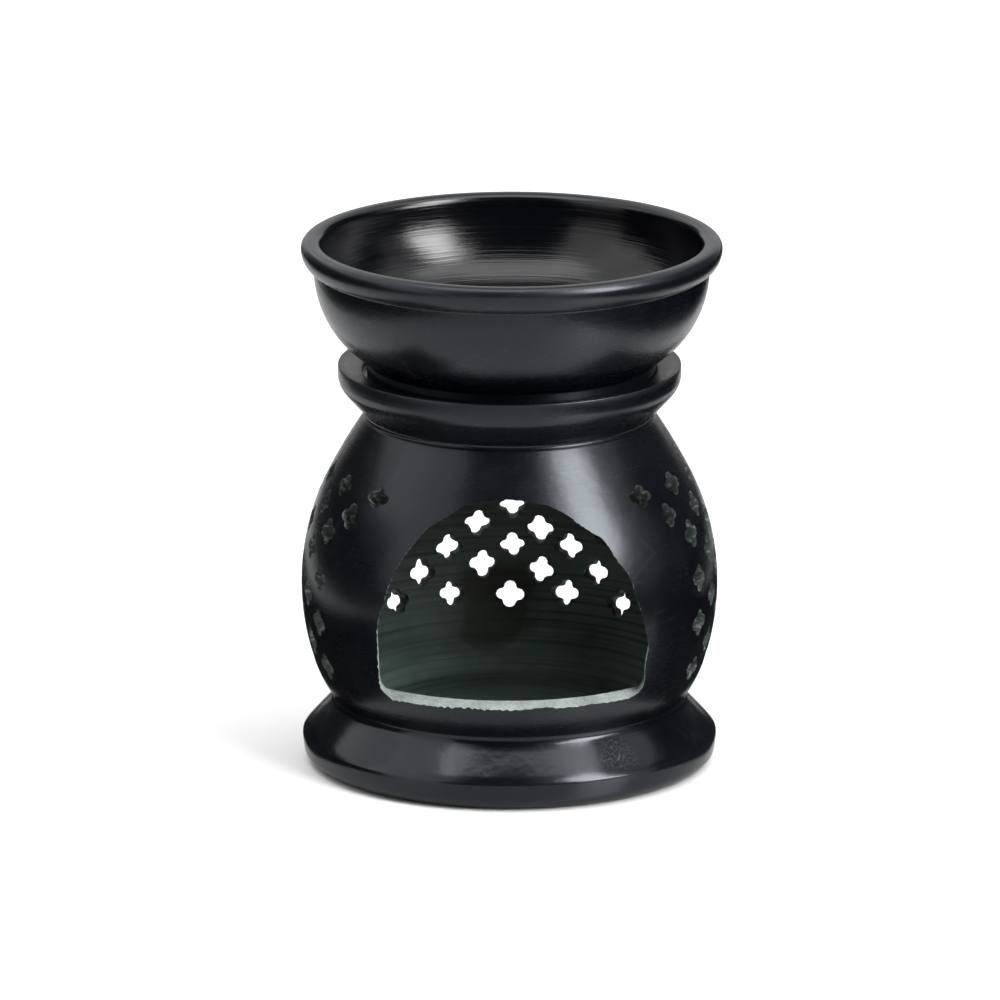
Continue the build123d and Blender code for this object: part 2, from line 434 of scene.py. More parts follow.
def bowl_outlines(sizes):
    """Outlines of the bowl: from the seat up over the bead, and the dish from its lip to its floor."""
    rim, top = sizes.rim_radius, SEAT_HEIGHT + sizes.height
    bead_round = 1.6 * MM
    middle = top - bead_round
    tuck = (rim - 1.4 * MM, top - 4.8 * MM)
    side = (rim - 2.35 * MM, top - 5.2 * MM)
    spigot = (27 * MM, SEAT_HEIGHT + 3 * MM)
    low, swell = (31.4 * MM, 80.7 * MM), (34.65 * MM, 85.3 * MM)
    lip = (rim - sizes.bead, middle)
    hub = (lip[0] - 0.05 * MM - sizes.dish_round, lip[1] - 1.3 * MM)
    dish = (hub[0] + sizes.dish_round, hub[1])
    flat = (hub[0], hub[1] - sizes.dish_round)
    round_edge = (bead_round, bead_round)
    under = [
        run((0, SEAT_HEIGHT), (spigot[0], SEAT_HEIGHT)),
        run((spigot[0], SEAT_HEIGHT), spigot),
        run(spigot, low),
        arc_through(low, swell, side),
        run(side, tuck),
        tangent_arc((rim, middle), (0, -1), tuck)[::-1],
        ellipse((rim - bead_round, middle), round_edge, 0, 90),
        ellipse((lip[0] + bead_round, middle), round_edge, 90, 180),
    ]
    inside = [
        run(lip, dish),
        ellipse(hub, (sizes.dish_round, sizes.dish_round), 0, -90),
        run(flat, (0, flat[1])),
    ]
    return under, inside


def wall_radii(outline, low=13 * MM, high=66 * MM):
    """Tables of the outer and inner radius by height, where the belly is one wall thick."""
    rises = np.gradient(outline[:, 1]) > 0
    inside_band = (outline[:, 1] > low) & (outline[:, 1] < high)
    outer = outline[rises & inside_band]
    inner = outline[~rises & inside_band][::-1]
    return outer, inner


def doorway(door, spacing=0.3 * MM):
    """Closed outline of the doorway in (x, z), from the middle of the sill, counter-clockwise."""
    half, sill, spring = door.half_width, door.sill_height, door.spring_height
    corner, jamb_lean = 3.2 * MM, 0.4 * MM
    foot = half - jamb_lean
    right = [
        run((0, sill), (foot - corner, sill)),
        ellipse((foot - corner, sill + corner), (corner, corner), -90, 0),
        run((foot, sill + corner), (half, spring)),
        ellipse((0, spring), (half, door.arch_height), 0, 90, 400),
    ]
    side = np.vstack(right)
    closed = np.vstack((side, side[-2::-1] * (-1, 1)))
    length = outline_length(closed)
    count = int(length[-1] / spacing)
    places = np.arange(count) * length[-1] / count
    return np.column_stack([np.interp(places, length, axis) for axis in closed.T])


def closed_noise(count, waves, seed):
    """Smooth noise round a closed outline: sines of whole wave numbers with random phases."""
    chance = np.random.default_rng(seed)
    place = np.arange(count)[:, None] * 2 * pi / count
    number = np.arange(waves[0], waves[1])[None]
    phase = chance.uniform(0, 2 * pi, number.shape)
    size = chance.normal(0, 1, number.shape)
    noise = (size * np.sin(number * place + phase)).sum(axis=1)
    return noise / noise.std()


def closed_normals(points):
    """Unit normals of a closed counter-clockwise outline, pointing out of it."""
    along = np.roll(points, -1, axis=0) - np.roll(points, 1, axis=0)
    normals = np.column_stack((along[:, 1], -along[:, 0]))
    return normals / np.hypot(*normals.T)[:, None]


def cut_door(door, outer, inner):
    """The solid that the doorway takes out: its outline carried straight back through the wall.

    Ring k is the outline moved out by chip(u) * flare_k and laid at y = -sqrt(R(z)^2 - x^2) + depth_k,
    with R the wall's outer or inner radius. The sill is raised to sill + slope * (edge - radius).
    """
    front, back = -46 * MM, -17 * MM
    low_reach, lean_reach, least_radius = 14 * MM, 22 * MM, 2 * MM
    line = doorway(door)
    count = len(line)
    normals = closed_normals(line)
    line = line + normals * (door.wander * closed_noise(count, (3, 22), 4))[:, None]
    low = np.clip(1 - (line[:, 1] - door.sill_height) / low_reach, 0, 1)
    right = np.clip(line[:, 0] / door.half_width, 0, 1)
    bite = np.clip(0.55 + 0.5 * closed_noise(count, (12, 150), 7), 0.06, 2.2)
    chip = door.chipping * bite * (0.45 + 0.5 * low + 0.3 * right * (1 - low))
    edge = np.interp(door.sill_height, outer[:, 1], outer[:, 0])

    def ring(flare, wall, depth):
        place = line + normals * (chip * flare)[:, None]
        x, z = place.T
        radius = np.interp(z, wall[:, 1], wall[:, 0])
        y = -np.sqrt(np.clip(radius**2 - x**2, least_radius**2, None)) + depth
        cone = door.sill_height + np.tan(door.sill_slope) * (edge - np.hypot(x, y))
        raised = np.maximum(line[:, 1], cone) + (z - line[:, 1])
        shift = door.offset - door.lean * np.clip((z - door.spring_height) / lean_reach, 0, 1.3)
        return np.column_stack((x + shift, y, raised))

    # Rings from the front to the back, each with its share of the chipping and its depth in mm
    rings = [ring(1, outer, -5 * MM)]
    rings[0][:, 1] = front
    for flare, depth in ((1, -0.35), (1, 0), (0.72, 0.1), (0.4, 0.26), (0.16, 0.55), (0.04, 1.1)):
        rings.append(ring(flare, outer, depth * MM))
    for flare, depth in ((0, -0.5), (0.25, -0.1), (0.5, 0.3)):
        rings.append(ring(flare, inner, depth * MM))
    last = ring(0.5, inner, 3 * MM)
    last[:, 1] = back
    rings.append(last)
    points = np.vstack(rings)
    faces = tube_faces(len(rings), count)[:, ::-1].tolist()
    faces.append(np.arange(count).tolist())
    faces.append((np.arange(count)[::-1] + (len(rings) - 1) * count).tolist())
    return new_mesh("door_cut", points, faces)


# Middle radius of the wall behind the door, in mm
BACK_RADIUS = 37.5

# How far the holes behind the door stray from the grid: shift to the right and rise, in mm
BACK_DRIFT = (
    ((0.1, 0.4), (0.3, 0.6), (0.1, -0.1), (-0.6, 0.6), (-0.4, 0.0)),
    ((0.4, 0.8), (1.0, 1.7), (0.0, 0.5), (-0.7, 1.0)),
    ((-1.0, 0.3), (0.3, 0.9), (0.7, 1.0), (-0.4, 1.1), (1.0, 0.3)),
    ((-1.4, 0.6), (0.0, 1.4), (-0.3, 0.1), (1.4, 0.6)),
    ((-0.6, 1.5), (0.5, 0.6), (0.6, 1.5)),
)


def lattice_places(lattice):
    """Height and angle from the back of every hole, row by row, drifting a little from the grid.

    The top rows reach one hole further at each end. The holes that show through the door have a
    drift of their own, the rest a random one.
    """
    top_rows = 2
    chance = np.random.default_rng(11)
    heights = np.linspace(lattice.low_height, lattice.high_height, lattice.rows)
    places = []
    for row, height in enumerate(heights):
        count = lattice.long_count - row % 2 + (2 if row >= lattice.rows - top_rows else 0)
        angles = (np.arange(count) - (count - 1) / 2) * lattice.step
        drift = chance.normal(0, 1, (count, 2)) * (0.0062, 0.22 * MM)
        if row < len(BACK_DRIFT):
            known = np.array(BACK_DRIFT[row]) * (1 / BACK_RADIUS, MM)
            first = (count - len(known)) // 2
            drift[first : first + len(known)] = known
        drift *= lattice.unevenness
        places.append(np.column_stack((height + drift[:, 1], angles + drift[:, 0])))
    return np.vstack(places)


def cut_lattice(lattice, outer, inner, around=28):
    """The solids that the lattice takes out: a four-lobed outline carried square through the wall.

    A lobe of radius a, drilled at offset b, has the polar outline
    b cos w + sqrt(a^2 - b^2 sin^2 w) within 45 degrees of its own direction. Each lobe and hole
    differs a little, and the outline flares where it breaks out of either side of the wall.
    """
    chance = np.random.default_rng(23)
    places = lattice_places(lattice)
    holes = len(places)
    uneven = lattice.unevenness
    angle = np.arange(around) * 2 * pi / around
    lobe = np.round(angle / (pi / 2)).astype(int) % 4
    w = (angle + pi / 4) % (pi / 2) - pi / 4
    size = 1 + 0.035 * uneven * chance.normal(0, 1, (holes, 1))
    a = lattice.lobe_radius * size * (1 + 0.05 * uneven * chance.normal(0, 1, (holes, 4)))[:, lobe]
    b = lattice.lobe_offset * size * (1 + 0.05 * uneven * chance.normal(0, 1, (holes, 4)))[:, lobe]
    a = np.maximum(a, 0.75 * b)
    reach = b * np.cos(w) + np.sqrt(a**2 - (b * np.sin(w)) ** 2)
    turn = radians(5) * uneven * chance.normal(0, 1, (holes, 1))
    flare = 0.16 * MM * (1 + 0.5 * chance.uniform(-1, 1, (holes, around)))
    height, back = places[:, :1], places[:, 1:]
    rise = np.gradient(outer[:, 1])
    slope = np.interp(height, outer[:, 1], -np.gradient(outer[:, 0]) / rise)
    middle = (np.interp(height, *outer.T[::-1]) + np.interp(height, *inner.T[::-1])) / 2
    rings = []
    # Each ring's wall, its depth past that wall in mm, and its share of the flare
    plan = (
        (inner, -1.5, 1.0), (inner, -0.2, 1.0), (inner, 0.05, 0.8), (inner, 0.3, 0.1),
        (outer, -0.5, 0.0), (outer, -0.22, 0.35), (outer, -0.04, 0.8), (outer, 0.2, 1.0),
        (outer, 1.5, 1.0),
    )
    for wall, depth, share in plan:
        wide = reach + flare * share
        x = wide * np.cos(angle + turn)
        level = height + wide * np.sin(angle + turn)
        out = np.sqrt(np.interp(level, *wall.T[::-1]) ** 2 - x**2) + depth * MM
        z = level + (out - middle) * slope
        out = np.sqrt(np.interp(z, *wall.T[::-1]) ** 2 - x**2) + depth * MM
        rings.append(
            np.stack((out * np.sin(back) + x * np.cos(back),
                      out * np.cos(back) - x * np.sin(back), z), axis=2)
        )
    points = np.stack(rings, axis=1).reshape(-1, 3)
    per_hole = len(plan) * around
    start = np.arange(holes)[:, None] * per_hole
    sides = tube_faces(len(plan), around)[:, ::-1]
    faces = (start[:, :, None] + sides[None]).reshape(-1, 4).tolist()
    faces += (start + np.arange(around)[None]).tolist()
    faces += (start + per_hole - around + np.arange(around)[None, ::-1]).tolist()
    return new_mesh("lattice_cut", points, faces)


def subtract(piece, cutter):
    """Takes a cutter out of a piece, keeps the cutter's faces in their own material slot."""
    step = piece.modifiers.new("cut", "BOOLEAN")
    step.operation = "DIFFERENCE"
    step.solver = "MANIFOLD"
    step.object = cutter
    graph = bpy.context.evaluated_depsgraph_get()
    result = bpy.data.meshes.new_from_object(piece.evaluated_get(graph))
    piece.modifiers.clear()
    old = piece.data
    piece.data = result
    result.name = piece.name
    bpy.data.meshes.remove(old)
    bpy.data.objects.remove(cutter)


def nearest_on_outline(points, outline, block=2000):
    """Index of the outline point nearest to each point, by radius and height."""
    flat = np.column_stack((np.hypot(points[:, 0], points[:, 1]), points[:, 2])).astype("f4")
    table = outline.astype("f4")
    found = []
    for start in range(0, len(flat), block):
        part = flat[start : start + block]
        gap = (part[:, :1] - table[:, 0]) ** 2 + (part[:, 1:] - table[:, 1]) ** 2
        found.append(gap.argmin(axis=1))
    return np.concatenate(found)


def mesh_points(mesh):
    """The mesh's points as rows of x, y and z."""
    points = np.empty(len(mesh.vertices) * 3)
    mesh.vertices.foreach_get("co", points)
    return points.reshape(-1, 3)


def faces_beyond(mesh, outline, place):
    """Which faces lie past a place along the outline."""
    centres = np.empty(len(mesh.polygons) * 3)
    mesh.polygons.foreach_get("center", centres)
    return nearest_on_outline(centres.reshape(-1, 3), outline) * STEP > place


def face_slots(mesh):
    """Material slot of every face."""
    slots = np.empty(len(mesh.polygons), int)
    mesh.polygons.foreach_get("material_index", slots)
    return slots


def mark_outline(mesh, outline, nearest):
    """Stores the distance along the outline and the wear at every point, for the materials."""
    for name, values in (("along", outline_length(outline)), ("wear", outline_wear(outline))):
        field = mesh.attributes.new(name, "FLOAT", "POINT")
        field.data.foreach_set("value", values[nearest])


def shade_turned(mesh, outline, nearest):
    """Gives turned faces the outline's own normals, so that cuts leave no dents in the gloss.

    The faces of the cuts keep their own.
    """
    points = mesh_points(mesh)
    normals = outline_normals(outline)[nearest]
    radius = np.maximum(np.hypot(points[:, 0], points[:, 1]), 1e-9)
    spread = normals[:, :1] * points[:, :2] / radius[:, None]
    turned = np.column_stack((spread, normals[:, 1]))
    corner_point = np.empty(len(mesh.loops), int)
    mesh.loops.foreach_get("vertex_index", corner_point)
    sizes = np.empty(len(mesh.polygons), int)
    mesh.polygons.foreach_get("loop_total", sizes)
    cut = np.repeat(face_slots(mesh) >= CUT_SLOT, sizes)
    corners = turned[corner_point]
    corners[cut] = 0
    mesh.set_sharp_from_angle(angle=radians(38))
    mesh.normals_split_custom_set(corners.tolist())


def feed(tree, node, feeds):
    """Sets a node's inputs, by name or number, to values or links them to sockets."""
    for key, value in dict(feeds).items():
        if isinstance(value, bpy.types.NodeSocket):
            tree.links.new(value, node.inputs[key])
        else:
            node.inputs[key].default_value = value
    return node


def place(tree, kind, feeds=(), **settings):
    """Adds a shader node."""
    node = tree.nodes.new("ShaderNode" + kind)
    for name, value in settings.items():
        setattr(node, name, value)
    return feed(tree, node, feeds)


def maths(tree, operation, *values):
    """The output of a math node."""
    return place(tree, "Math", enumerate(values), operation=operation).outputs[0]


def spread(tree, value, low, high, to_low=0.0, to_high=1.0):
    """A value carried from one range to another, held at its ends."""
    feeds = {0: value, 1: low, 2: high, 3: to_low, 4: to_high}
    return place(tree, "MapRange", feeds).outputs[0]


def mix(tree, share, first, second):
    """Two colours mixed by a share. A colour is a socket or three numbers."""
    node = place(tree, "Mix", {0: share}, data_type="RGBA")
    for number, value in ((6, first), (7, second)):
        linked = isinstance(value, bpy.types.NodeSocket)
        feed(tree, node, {number: value if linked else (*value, 1.0)})
    return node.outputs[2]


def noise(tree, vector, scale, detail=3.0, roughness=0.5):
    """Noise over a vector."""
    feeds = {"Vector": vector, "Scale": scale, "Detail": detail, "Roughness": roughness}
    return place(tree, "TexNoise", feeds).outputs[0]


def new_group(name, inputs, outputs):
    """A shader node group with named sockets, and its two end nodes."""
    tree = bpy.data.node_groups.new(name, "ShaderNodeTree")
    for label, kind, default in inputs:
        socket = tree.interface.new_socket(label, in_out="INPUT", socket_type="NodeSocket" + kind)
        if default is not None:
            socket.default_value = default
    for label, kind in outputs:
        tree.interface.new_socket(label, in_out="OUTPUT", socket_type="NodeSocket" + kind)
    return tree, tree.nodes.new("NodeGroupInput"), tree.nodes.new("NodeGroupOutput")


def tool_line_group():
    """Fine lines round the axis: noise that is short along the outline and long around it."""
    tree, given, out = new_group(
        "tool_lines",
        [("Object", "Vector", None), ("Along", "Float", None), ("Lines per metre", "Float", 900.0),
         ("Length", "Float", 0.05)],
        [("Lines", "Float")],
    )
    split = place(tree, "SeparateXYZ", {0: given.outputs["Object"]})
    reach = maths(tree, "DIVIDE", 1.0, given.outputs["Length"])
    x = maths(tree, "MULTIPLY", split.outputs[0], reach)
    y = maths(tree, "MULTIPLY", split.outputs[1], reach)
    z = maths(tree, "MULTIPLY", given.outputs["Along"], given.outputs["Lines per metre"])
    joined = place(tree, "CombineXYZ", {0: x, 1: y, 2: z}).outputs[0]
    feed(tree, out, {0: noise(tree, joined, 1.0, 3.5, 0.62)})


def cloud_group():
    """Soft clouds and fine specks in the stone."""
    tree, given, out = new_group(
        "stone_clouds",
        [("Object", "Vector", None), ("Cloud scale", "Float", 70.0), ("Speck scale", "Float", 1500.0)],
        [("Clouds", "Float"), ("Specks", "Float")],
    )
    where = given.outputs["Object"]
    warp = noise(tree, where, given.outputs["Cloud scale"], 5.0, 0.6)
    clouds = spread(tree, warp, 0.36, 0.68)
    grain = noise(tree, where, given.outputs["Speck scale"], 2.0, 0.5)
    specks = spread(tree, grain, 0.66, 0.78)
    feed(tree, out, {0: clouds, 1: specks})


def scratch_group():
    """Thin handling scratches: the bright threads between the cells of a stretched, bent pattern."""
    tree, given, out = new_group(
        "handling_scratches",
        [("Object", "Vector", None), ("Scale", "Float", 120.0), ("Slant", "Float", 0.4)],
        [("Scratches", "Float"), ("Threads", "Float")],
    )
    slant = place(tree, "CombineXYZ", {0: given.outputs["Slant"], 1: 0.3, 2: given.outputs["Slant"]})
    turned = place(
        tree, "VectorRotate", {"Vector": given.outputs["Object"], "Rotation": slant.outputs[0]},
        rotation_type="EULER_XYZ",
    )
    long = place(tree, "Mapping", {"Vector": turned.outputs[0], "Scale": (0.06, 1.0, 1.0)})
    threads = place(
        tree, "TexVoronoi", {"Vector": long.outputs[0], "Scale": given.outputs["Scale"]},
        feature="DISTANCE_TO_EDGE",
    )
    thin = spread(tree, threads.outputs["Distance"], 0.0, 0.02, 1.0, 0.0)
    patchy = spread(tree, noise(tree, given.outputs["Object"], 90.0, 2.0), 0.52, 0.66)
    feed(tree, out, {0: maths(tree, "MULTIPLY", thin, patchy), 1: thin})


def use_group(tree, name, feeds):
    """Places a node group."""
    return place(tree, "Group", feeds, node_tree=bpy.data.node_groups[name])


def attribute(tree, name):
    """A value that the mesh stores at its points."""
    return place(tree, "Attribute", attribute_name=name).outputs["Fac"]


def new_material(name):
    """A new material's tree and its Object coordinates."""
    material = bpy.data.materials.new(name)
    material.use_nodes = True
    tree = material.node_tree
    return tree, place(tree, "TexCoord").outputs["Object"]


def dress(tree, colour, rough, height, strength, distance):
    """Gives a material's shader its colour, its roughness and a bump, and returns the shader."""
    bump = place(tree, "Bump", {"Strength": strength, "Distance": distance, "Height": height})
    feeds = {"Base Color": colour, "Roughness": rough, "Normal": bump.outputs[0]}
    return feed(tree, tree.nodes["Principled BSDF"], feeds)


def ragged_distance(tree, where, centre, scale, detail, reach):
    """Distance from a centre plus noise of a scale times a reach, for patches with ragged edges."""
    near = place(tree, "VectorMath", {0: where, 1: centre}, operation="DISTANCE")
    return maths(tree, "MULTIPLY_ADD", noise(tree, where, scale, detail), reach, near.outputs["Value"])


def polished_stone(finish):
    """The dyed, waxed and polished outside: navy black, cloudy, with fine turning lines."""
    tree, where = new_material("polished_stone")
    along, wear = attribute(tree, "along"), attribute(tree, "wear")
    clouds = use_group(tree, "stone_clouds", {"Object": where})
    lines = use_group(tree, "tool_lines", {"Object": where, "Along": along, "Lines per metre": 2600.0})
    scratches = use_group(tree, "handling_scratches", {"Object": where})
    colour = mix(tree, clouds.outputs["Clouds"], finish.polish, finish.bloom)
    rubbed = spread(tree, wear, 0.25, 1.0, 0.0, 0.12)
    colour = mix(tree, rubbed, colour, (0.05, 0.055, 0.066))
    pale = maths(tree, "MULTIPLY", clouds.outputs["Specks"], 0.03)
    colour = mix(tree, pale, colour, PALE_SPECK)
    streak = maths(tree, "MULTIPLY", scratches.outputs[0], 0.03)
    colour = mix(tree, streak, colour, (0.25, 0.27, 0.30))
    ragged = ragged_distance(tree, where, SCUFF_CENTRE, 420.0, 3.0, 4 * MM)
    scuffed = spread(tree, ragged, 0.0035, 0.0068, 1.0, 0.0)
    hairs = use_group(tree, "handling_scratches", {"Object": where, "Scale": 1500.0, "Slant": 1.1})
    more_hairs = use_group(tree, "handling_scratches", {"Object": where, "Scale": 1300.0, "Slant": -0.7})
    crossed = maths(tree, "MAXIMUM", hairs.outputs["Threads"], more_hairs.outputs["Threads"])
    crossed = maths(tree, "MULTIPLY", crossed, scuffed)
    colour = mix(tree, maths(tree, "MULTIPLY", crossed, 0.32), colour, (0.16, 0.18, 0.21))
    rough = spread(tree, lines.outputs[0], 0.3, 0.7, finish.gloss - 0.01, finish.gloss + 0.015)
    hazy = spread(tree, clouds.outputs["Clouds"], 0.0, 1.0, 0.0, 0.05)
    rough = maths(tree, "ADD", rough, hazy)
    level = place(tree, "SeparateXYZ", {0: where}).outputs[2]
    rough = maths(tree, "SUBTRACT", rough, spread(tree, level, 0.010, 0.016, 0.10, 0.0))
    rough = maths(tree, "MULTIPLY_ADD", wear, 0.08, rough)
    swell = maths(tree, "MULTIPLY", noise(tree, where, 260.0, 3.0), 5.0)
    height = maths(tree, "MULTIPLY_ADD", lines.outputs[0], 0.12, swell)
    height = maths(tree, "SUBTRACT", height, maths(tree, "MULTIPLY", scratches.outputs[0], 0.3))
    height = maths(tree, "SUBTRACT", height, crossed)
    shader = dress(tree, colour, rough, height, 0.10, 0.1 * MM)
    feed(tree, shader, {"IOR": WAX_IOR, "Specular Tint": (0.86, 0.93, 1.0, 1)})


def dish_stone(finish):
    """The inside of the dish: the glossiest polish, with rings from the turning tool."""
    tree, where = new_material("dish_stone")
    clouds = use_group(tree, "stone_clouds", {"Object": where, "Cloud scale": 110.0})
    lines = use_group(
        tree, "tool_lines",
        {"Object": where, "Along": attribute(tree, "along"), "Lines per metre": 3000.0},
    )
    dark = tuple(0.7 * part for part in finish.polish)
    colour = mix(tree, clouds.outputs["Clouds"], dark, finish.polish)
    pale = maths(tree, "MULTIPLY", clouds.outputs["Specks"], 0.015)
    colour = mix(tree, pale, colour, PALE_SPECK)
    rough = spread(tree, lines.outputs[0], 0.3, 0.7, 0.10, 0.24)
    shader = dress(tree, colour, rough, lines.outputs[0], 0.6, 0.1 * MM)
    feed(tree, shader, {"IOR": WAX_IOR})


def honed_stone(finish):
    """The chamber's inside: dark green-grey, undyed, with level tool lines and a soot stain."""
    tree, where = new_material("honed_stone")
    clouds = use_group(tree, "stone_clouds", {"Object": where, "Cloud scale": 60.0})
    along = attribute(tree, "along")
    lines = use_group(
        tree, "tool_lines",
        {"Object": where, "Along": along, "Lines per metre": 1300.0, "Length": 0.08},
    )
    deep = tuple(0.4 * part for part in finish.honed)
    pale = tuple(min(1.0, 1.6 * part) for part in finish.honed)
    shade = mix(tree, spread(tree, lines.outputs[0], 0.30, 0.55), deep, pale)
    colour = mix(tree, spread(tree, clouds.outputs["Clouds"], 0, 1, 0.0, 0.5), shade, deep)
    level = place(tree, "SeparateXYZ", {0: where}).outputs[2]
    # Darker and browner towards the top of the chamber
    colour = mix(tree, spread(tree, level, 0.022, 0.042, 0.0, 0.8), colour, finish.soot)
    ragged = ragged_distance(tree, where, STAIN_CENTRE, 160.0, 4.0, 12 * MM)
    stain = spread(tree, ragged, 0.0125, 0.0165, 0.8, 0.0)
    colour = mix(tree, stain, colour, finish.soot)
    rough = spread(tree, lines.outputs[0], 0.3, 0.7, 0.5, 0.7)
    dress(tree, colour, rough, lines.outputs[0], 0.5, 0.2 * MM)


def raw_stone(finish):
    """Freshly cut soapstone: pale grey-green, granular and matt."""
    tree, where = new_material("raw_stone")
    clouds = use_group(
        tree, "stone_clouds", {"Object": where, "Cloud scale": 260.0, "Speck scale": 2600.0}
    )
    grain = noise(tree, where, 2200.0, 4.0, 0.7)
    low = tuple(0.45 * part for part in finish.raw)
    colour = mix(tree, clouds.outputs["Clouds"], low, finish.raw)
    colour = mix(tree, spread(tree, grain, 0.3, 0.7, 0.0, 0.45), colour, (0.62, 0.68, 0.66))
    dress(tree, colour, spread(tree, grain, 0.3, 0.7, 0.7, 0.9), grain, 0.8, 0.2 * MM)


def drilled_stone(finish):
    """The drilled holes' walls: a dark stone colour, pale only in patches."""
    tree, where = new_material("drilled_stone")
    clouds = use_group(
        tree, "stone_clouds", {"Object": where, "Cloud scale": 900.0, "Speck scale": 2600.0}
    )
    grain = noise(tree, where, 1800.0, 4.0, 0.7)
    dark = tuple(0.25 * part for part in finish.honed)
    pale = tuple(0.55 * part for part in finish.raw)
    colour = mix(tree, spread(tree, clouds.outputs["Clouds"], 0.50, 0.85), dark, pale)
    dress(tree, colour, spread(tree, grain, 0.3, 0.7, 0.6, 0.85), grain, 0.8, 0.2 * MM)


class BURNER_OT_finishes(bpy.types.Operator):
    """Mix the stone's finishes"""

    bl_idname = "burner.finishes"
    bl_label = "Mix finishes"

    def execute(self, context):
        finish = context.scene.burner_finishes
        tool_line_group()
        cloud_group()
        scratch_group()
        for make in (polished_stone, dish_stone, honed_stone, raw_stone, drilled_stone):
            make(finish)
        return {"FINISHED"}


class BURNER_OT_body(bpy.types.Operator):
    """Turn the lower stone, cut its door and pierce its lattice"""

    bl_idname = "burner.body"
    bl_label = "Make body"

    def execute(self, context):
        scene = context.scene
        sizes = scene.burner_body
        outside, hollow = body_outlines(sizes)
        outline = softened(outside + hollow, sizes.edge_softness)
        split = outline_length(np.vstack(outside))[-1]
        end = outline_length(outline)[-1]
        outline = tool_marks(
            outline, spacing=2.3 * MM, depth=0.03 * MM,
            low=split + 9 * MM, high=end - 12 * MM, seed=5,
        )
        rows = picked_rows(outline, widest=2.5 * MM, slack=0.008 * MM)
        piece = turned_piece("turned_body", rows, sizes.around)
        names = ("polished_stone", "honed_stone", "raw_stone", "drilled_stone")
        for name in names:
            piece.data.materials.append(bpy.data.materials[name])
        outer, inner = wall_radii(outline)
        cutters = (
            cut_door(scene.burner_door, outer, inner),
            cut_lattice(scene.burner_lattice, outer, inner),
        )
        for slot, cutter in enumerate(cutters, CUT_SLOT):
            for name in names:
                cutter.data.materials.append(bpy.data.materials[name])
            cutter.data.polygons.foreach_set("material_index", np.full(len(cutter.data.polygons), slot))
            subtract(piece, cutter)
        mesh = piece.data
        nearest = nearest_on_outline(mesh_points(mesh), outline)
        mark_outline(mesh, outline, nearest)
        slots = face_slots(mesh)
        slots[(slots == 0) & faces_beyond(mesh, outline, split - 1 * MM)] = 1
        mesh.polygons.foreach_set("material_index", slots)
        shade_turned(mesh, outline, nearest)
        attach(piece, "body")
        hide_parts("burner_body")
        return {"FINISHED"}


class BURNER_OT_bowl(bpy.types.Operator):
    """Turn the oil bowl"""

    bl_idname = "burner.bowl"
    bl_label = "Make bowl"

    def execute(self, context):
        bowl = context.scene.burner_bowl
        under, inside = bowl_outlines(bowl)
        outline = softened(under + inside, 0.16 * MM)
        split = outline_length(np.vstack(under))[-1]
        end = outline_length(outline)[-1]
        outline = tool_marks(
            outline, spacing=1.1 * MM, depth=bowl.ring_depth,
            low=split + 1 * MM, high=end - 4 * MM, seed=9,
        )
        rows = picked_rows(outline, widest=2.0 * MM, slack=0.004 * MM)
        piece = turned_piece("turned_bowl", rows, around=288)
        mesh = piece.data
        for name in ("polished_stone", "dish_stone"):
            mesh.materials.append(bpy.data.materials[name])
        nearest = nearest_on_outline(mesh_points(mesh), outline)
        mark_outline(mesh, outline, nearest)
        inner = faces_beyond(mesh, outline, split - 1.4 * MM)
        mesh.polygons.foreach_set("material_index", inner.astype(int))
        shade_turned(mesh, outline, nearest)
        moved = mesh_points(mesh) + (bowl.offset, 0, 0)
        mesh.vertices.foreach_set("co", moved.ravel())
        mesh.update()
        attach(piece, "bowl")
        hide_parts("oil_bowl")
        return {"FINISHED"}


def soft_light(name, centre, facing, size, radiance, mirrored=True, lit=True):
    """A rectangular softbox of a given radiance, upright unless it faces up or down.

    It can be left out of the gloss (mirrored) or of the matt light (lit).
    """
    light = bpy.data.lights.new(name, "AREA")
    light.shape = "RECTANGLE"
    light.size, light.size_y = size
    light.energy = pi * radiance * size[0] * size[1]
    lamp = bpy.data.objects.new(name, light)
    lamp.location = centre
    lamp.rotation_euler = (-Vector(facing)).to_track_quat("Z", "Y").to_euler()
    lamp.visible_camera = False
    lamp.visible_glossy = mirrored
    lamp.visible_diffuse = lit
    bpy.context.scene.collection.objects.link(lamp)


def upright_light(name, azimuth, distance, width, heights, radiance, mirrored=True, lit=True):
    """An upright softbox round the burner, so many degrees from the camera's side and so wide."""
    turn = radians(azimuth)
    out = Vector((sin(turn), -cos(turn), 0))
    low, high = heights
    centre = distance * out + Vector((0, 0, (low + high) / 2))
    size = (2 * distance * tan(radians(width / 2)), high - low)
    soft_light(name, centre, -out, size, radiance, mirrored, lit)


def card(name, corners, shade, rough, gloss):
    """A flat four-cornered grey card on the stage."""
    mesh = bpy.data.meshes.new(name)
    mesh.from_pydata(corners, [], [(0, 1, 2, 3)])
    board = bpy.data.objects.new(name, mesh)
    material = bpy.data.materials.new(name)
    material.use_nodes = True
    tree = material.node_tree
    feeds = {"Base Color": (shade, shade, shade, 1), "Roughness": rough, "Specular IOR Level": gloss}
    feed(tree, tree.nodes["Principled BSDF"], feeds)
    mesh.materials.append(material)
    bpy.context.scene.collection.objects.link(board)
    return board


